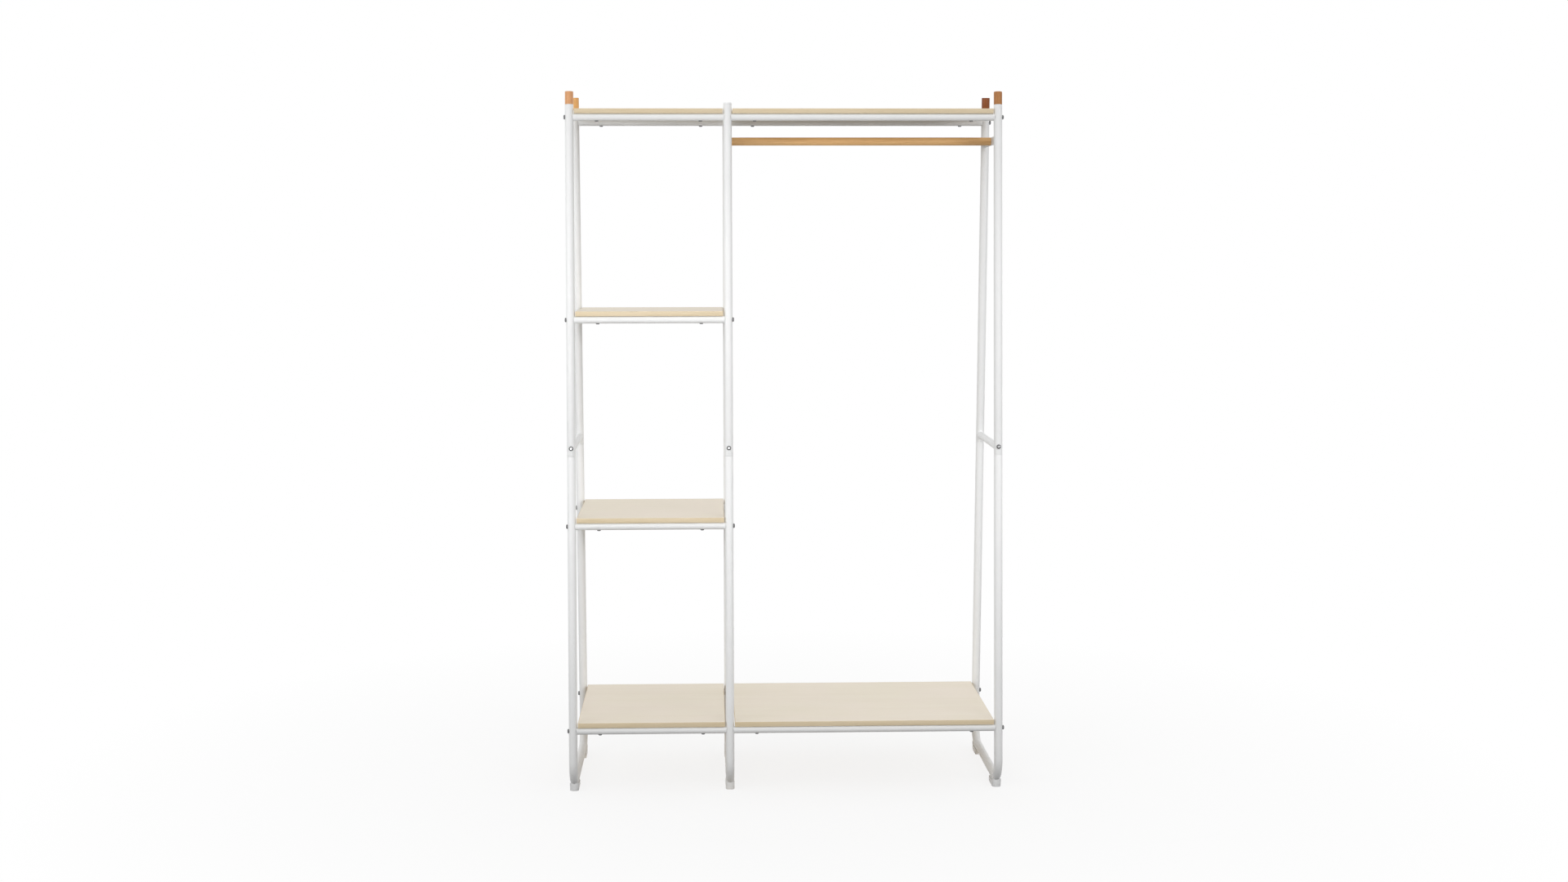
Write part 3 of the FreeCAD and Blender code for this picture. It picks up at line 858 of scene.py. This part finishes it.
stageLook = {
    "floorSize": 40.0, "floorSeen": (0.95, 0.95, 0.95), "air": 0.73,
    # painted light in the floor's colour: what it sends back, dim in the open, and a brighter, warmer painted
    # pool under the boards, where they would shade it
    "openBounce": (0.27, 0.265, 0.26), "paintedPoolBounce": (0.80, 0.68, 0.50),
    "coverMiddle": (0, 0.1, 0), "coverHalf": (0.62, 0.28, 1), "coverFade": (0.7, 1.3),
    # share of plain white in the floor as seen, close to the object and far out
    "plainShare": (0.82, 1.0), "plainReach": (0.6, 1.9),
}


def seenPlainly(tree):
    # 1 for what the camera sees, also in a reflection or through glass
    path = addNode(tree, "ShaderNodeLightPath").outputs
    seen = addMath(tree, "MAXIMUM", path["Is Camera Ray"], path["Is Glossy Ray"])
    return addMath(tree, "MAXIMUM", seen, path["Is Transmission Ray"])


def floorFinish():
    finish = bpy.data.materials.new("paleFloor")
    finish.use_nodes = True
    tree = finish.node_tree
    tree.nodes.remove(tree.nodes["Principled BSDF"])
    seen = seenPlainly(tree)
    place = addNode(tree, "ShaderNodeTexCoord").outputs["Object"]
    # mask of the painted pool of warmer, brighter bounce under the boards, fading towards the open floor
    cover = addNode(tree, "ShaderNodeMapping", {"Vector": place, "Location": stageLook["coverMiddle"],
                                                "Scale": stageLook["coverHalf"]}, vector_type="TEXTURE")
    near, far = stageLook["coverFade"]
    covered = remap(tree, lengthOf(tree, cover.outputs[0]), (far, near))
    bounce = blendColour(tree, covered, stageLook["openBounce"], stageLook["paintedPoolBounce"])
    shade = blendColour(tree, seen, bounce, stageLook["floorSeen"])
    matt = addNode(tree, "ShaderNodeBsdfDiffuse", {"Color": shade})
    plain = addNode(tree, "ShaderNodeEmission", {"Color": (1, 1, 1, 1), "Strength": 1.0})
    fade = remap(tree, lengthOf(tree, place), stageLook["plainReach"], stageLook["plainShare"])
    share = addMath(tree, "MULTIPLY", seen, fade)
    both = addNode(tree, "ShaderNodeMixShader", {0: share, 1: matt.outputs[0], 2: plain.outputs[0]})
    tree.links.new(both.outputs[0], tree.nodes["Material Output"].inputs["Surface"])
    return finish


def addFloor():
    bm = bmesh.new()
    bmesh.ops.create_grid(bm, x_segments=1, y_segments=1, size=stageLook["floorSize"] / 2)
    mesh = asMesh(bm, "studioFloor")
    mesh.materials.append(floorFinish())
    floor = bpy.data.objects.new("studioFloor", mesh)
    scene.collection.objects.link(floor)


def addWorld():
    world = bpy.data.worlds.new("studioAir")
    world.use_nodes = True
    scene.world = world
    tree = world.node_tree
    air = tree.nodes["Background"]
    air.inputs["Color"].default_value = (1, 1, 1, 1)
    tree.links.new(remap(tree, seenPlainly(tree), end=(stageLook["air"], 1.0)), air.inputs["Strength"])


lamps = {
    # place, aim, size across and up, spread in degrees, watts
    "keyLamp": ((-1.4, -5.1, 1.5), (-0.85, 0, 0.88), (2.4, 0.8), 20, 1.12),
    "rightLamp": ((3.0, -4.4, 1.8), (0.55, 0, 0.95), (2.0, 0.8), 30, 3.45),
    "leftLamp": ((-3.7, -3.0, 1.7), (-0.05, 0.05, 1.06), (2.0, 0.8), 46, 4.3),
    "lowLamp": ((-1.0, -2.5, 0.25), (-0.4, 0.12, 1.66), (1.4, 0.6), 28, 0.58),
    "topLamp": ((0, -2.5, 3.6), (0, 0, 0.2), (2.4, 1.4), 60, 0.8),
}


def addLamp(name):
    place, aim, size, spreadAngle, watts = lamps[name]
    light = bpy.data.lights.new(name, "AREA")
    light.shape = "RECTANGLE"
    light.size, light.size_y = size
    light.spread = math.radians(spreadAngle)
    light.energy = watts
    lamp = bpy.data.objects.new(name, light)
    lamp.location = place
    lamp.rotation_euler = (Vector(aim) - Vector(place)).to_track_quat("-Z", "Y").to_euler()
    scene.collection.objects.link(lamp)


view = {"place": (-0.19157, -5.08892, 1.34174), "down": 0.09354, "right": 0.03134, "roll": -0.00165,
        "sensor": 36, "lens": 46.794, "shift": (0.008856, -0.006085)}


def addCamera():
    data = bpy.data.cameras.new("photoCamera")
    data.sensor_width = view["sensor"]
    data.lens = view["lens"]
    data.shift_x, data.shift_y = view["shift"]
    camera = bpy.data.objects.new("photoCamera", data)
    level = Matrix.Rotation(-view["right"], 4, "Z") @ Matrix.Rotation(quarterTurn - view["down"], 4, "X")
    camera.matrix_world = Matrix.Translation(view["place"]) @ level @ Matrix.Rotation(view["roll"], 4, "Z")
    scene.collection.objects.link(camera)
    scene.camera = camera


addFloor()
addWorld()
for name in lamps:
    addLamp(name)
addCamera()
scene.view_settings.view_transform = "Standard"
print("floor, lamps and camera set")
